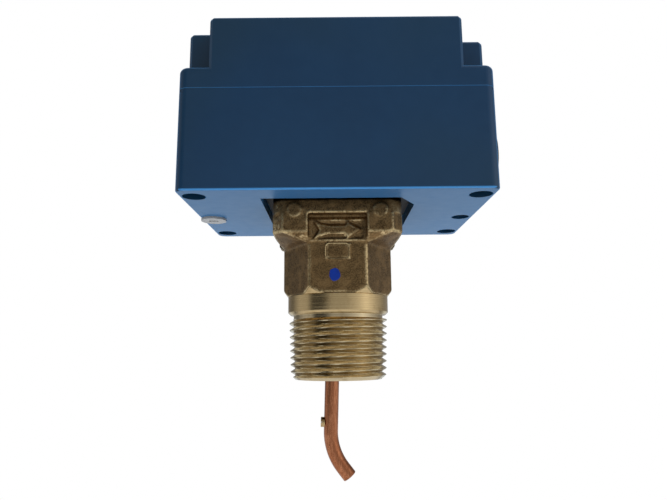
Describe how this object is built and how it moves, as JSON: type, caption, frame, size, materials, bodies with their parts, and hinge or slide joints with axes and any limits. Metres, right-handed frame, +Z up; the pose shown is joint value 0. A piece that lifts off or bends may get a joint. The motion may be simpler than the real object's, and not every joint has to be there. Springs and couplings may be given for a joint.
{
  "type": "paddle flow switch",
  "caption": "Paddle flow switch: stepped blue housing on a cast brass body with a taper pipe thread, and a bent copper arm on a lever that works a snap switch.",
  "frame": {"origin": "centre of the lower end face of the pipe thread", "axes": "+Z up the thread axis to the housing, +X the direction of flow, -Y the front of the housing"},
  "size_m": [0.1035, 0.0696, 0.1471],
  "materials": {
    "housing_blue": "satin blue enamel",
    "cast_brass": "cast, lightly tarnished",
    "copper": "drawn copper",
    "turned_brass": "turned",
    "black_rubber": "matt",
    "black_nylon": "moulded",
    "grey_plastic": "moulded",
    "zinc_steel": "zinc plated",
    "steel": "machined",
    "switch_brown": "phenolic",
    "white_nylon": "moulded"
  },
  "bodies": {
    "root": {"brass_body": "cast_brass", "seal_diaphragm": "black_rubber", "clamp_ring": "turned_brass", "flange_gasket": "black_rubber", "base_casing": "housing_blue", "top_cover": "housing_blue", "cover_gasket": "black_rubber", "cover_screws": "zinc_steel", "body_screws": "zinc_steel", "grey_plug": "grey_plastic", "entry_bush": "black_nylon", "entry_seal": "black_rubber", "entry_locknut": "black_nylon", "earth_clamp": "zinc_steel", "earth_screw": "turned_brass", "mounting_plate": "zinc_steel", "pivot_pin": "steel", "pin_clips": "steel", "switch_bracket": "zinc_steel", "bracket_screws": "zinc_steel", "switch_case": "switch_brown", "switch_screws": "zinc_steel", "switch_terminals": "turned_brass", "terminal_screws": "zinc_steel", "spring_frame": "zinc_steel", "frame_screws": "zinc_steel", "range_spring": "steel"},
    "arm": {"pivot_block": "turned_brass", "arm_rod": "turned_brass", "paddle_tube": "copper", "tube_screw": "turned_brass", "lever_plate": "zinc_steel", "lever_screws": "zinc_steel"},
    "plunger": {"switch_plunger": "white_nylon"},
    "range_screw": {"range_screw": "steel"},
    "spring_seat": {"spring_seat": "turned_brass"}
  },
  "joints": [
    {"name": "arm_swing", "type": "hinge", "parent": "root", "child": "arm", "pos_m": [0, 0, 0.0715], "axis": [0, -1, 0], "range_deg": [0, 5.5], "stiffness_Nm_per_rad": 0.5, "springref_deg": -4.58, "deforming": ["range_spring"]},
    {"name": "plunger_slide", "type": "slide", "parent": "root", "child": "plunger", "axis": [-1, 0, 0], "range_m": [0, 0.0019]},
    {"name": "range_turn", "type": "hinge", "parent": "root", "child": "range_screw", "pos_m": [0.01835, 0, 0.1], "axis": [0, 0, 1], "range_deg": [0, 720.5]},
    {"name": "seat_slide", "type": "slide", "parent": "root", "child": "spring_seat", "axis": [0, 0, -1], "range_m": [0, 0.0016]}
  ],
  "couplings": [
    {"joint": "plunger_slide", "follows": "arm_swing", "m_per_rad": 0.018},
    {"joint": "range_turn", "follows": "seat_slide", "rad_per_m": 7854}
  ]
}
